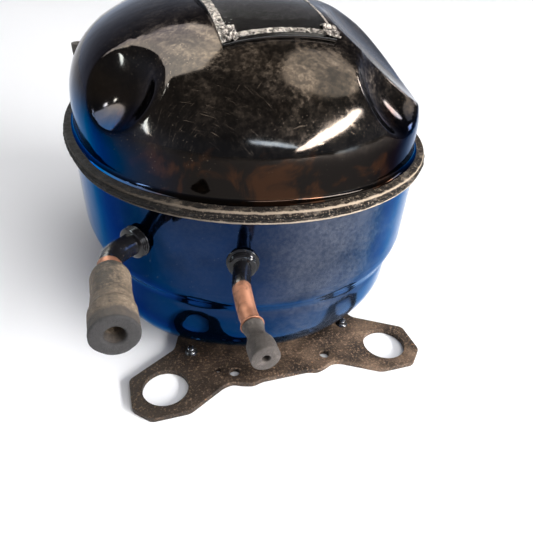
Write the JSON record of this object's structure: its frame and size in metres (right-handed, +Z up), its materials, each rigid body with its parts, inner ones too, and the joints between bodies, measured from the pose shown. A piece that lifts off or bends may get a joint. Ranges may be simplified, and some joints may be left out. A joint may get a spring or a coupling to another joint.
{
  "type": "hermetic reciprocating compressor",
  "caption": "Oval welded steel compressor shell with a flanged rim, two foot plates and capped copper tubes; inside, a spring-mounted motor drives a crank and piston.",
  "frame": {"origin": "middle of the four foot holes, on the underside of the foot plates", "axes": "+Z up, square to the foot plates; -Y to the front, where the suction and discharge tubes leave; +X to the right seen from the front"},
  "size_m": [0.1544, 0.2402, 0.1401],
  "materials": {
    "shell_enamel": "gloss enamel, dark navy",
    "cover_enamel": "gloss enamel, near black, with dust and fine scratches",
    "rim_steel": "rough, burnt and thinly painted",
    "foot_steel": "dark brown-grey wash with fine speckle",
    "tube_paint": "black enamel over steel",
    "copper": "bare drawn copper, lightly tarnished",
    "cap_rubber": "grey-tan rubber, dirty",
    "plug_rubber": "grey rubber",
    "label_sheet": "dark plastic sheet",
    "label_film": "clear film, crumpled at its edges",
    "stud_steel": "dark plated steel",
    "glass_bead": "fused glass",
    "zinc_steel": "zinc plated",
    "spring_steel": "oiled spring wire",
    "pressed_steel": "plain pressed sheet",
    "lamination": "stacked electrical sheet",
    "winding": "enamelled copper wire",
    "cast_aluminium": "cast",
    "cast_iron": "cast, machined faces",
    "ground_steel": "ground and honed",
    "gasket_sheet": "fibre sheet",
    "muffler_plastic": "moulded",
    "plug_plastic": "moulded",
    "lead_cover": "insulated wire"
  },
  "bodies": {
    "shell": {"discharge_collar": "tube_paint", "discharge_plug": "plug_rubber", "discharge_tube": "copper", "earth_screw": "zinc_steel", "foot_studs": "stud_steel", "front_foot_plate": "foot_steel", "label_film": "label_film", "label_plate": "label_sheet", "lead_plug": "plug_plastic", "lower_shell": "shell_enamel", "motor_leads": "lead_cover", "process_collar": "tube_paint", "process_plug": "plug_rubber", "process_tube": "copper", "rear_foot_plate": "foot_steel", "rim_weld_bead": "rim_steel", "spring_front_left": "spring_steel", "spring_front_right": "spring_steel", "spring_rear_left": "spring_steel", "spring_rear_right": "spring_steel", "spring_seats": "pressed_steel", "suction_cap": "cap_rubber", "suction_collar": "tube_paint", "suction_tube": "copper", "terminal_body": "pressed_steel", "terminal_fence": "shell_enamel", "terminal_glass": "glass_bead", "terminal_pins": "ground_steel", "upper_cover": "cover_enamel"},
    "pump": {"spring_caps": "plug_plastic", "stator_core": "lamination", "stator_windings": "winding", "stator_bolts": "zinc_steel", "crankcase_block": "cast_iron", "thrust_washer": "ground_steel", "suction_reed": "spring_steel", "valve_plate": "ground_steel", "head_gasket": "gasket_sheet", "cylinder_head": "cast_aluminium", "discharge_reed": "spring_steel", "head_bolts": "zinc_steel", "suction_muffler": "muffler_plastic", "discharge_muffler": "pressed_steel", "head_pipe": "ground_steel", "discharge_line": "copper"},
    "crank": {"crankshaft": "ground_steel", "counterweight": "pressed_steel", "rotor_core": "lamination", "rotor_end_rings": "cast_aluminium", "oil_pickup": "plug_plastic"},
    "piston": {"piston": "ground_steel", "wrist_pin": "ground_steel"},
    "rod": {"connecting_rod": "cast_aluminium", "crankpin": "ground_steel"}
  },
  "joints": [
    {"name": "pump_suspension", "type": "slide", "parent": "shell", "child": "pump", "axis": [0, 0, 1], "range_m": [-0.0015, 0.0015], "stiffness_N_per_m": 18000, "springref_m": 0.00217, "deforming": ["spring_front_left", "spring_front_right", "spring_rear_left", "spring_rear_right"]},
    {"name": "crankshaft_spin", "type": "hinge", "parent": "pump", "child": "crank", "pos_m": [0, 0.009, 0.0994], "axis": [0, 0, 1], "continuous": true},
    {"name": "piston_slide", "type": "slide", "parent": "pump", "child": "piston", "axis": [0, 1, 0], "range_m": [0, 0.016]},
    {"name": "rod_swing", "type": "hinge", "parent": "piston", "child": "rod", "pos_m": [0, -0.033, 0.1134], "axis": [0, 0, 1], "range_deg": [-13.6, 13.6]}
  ]
}
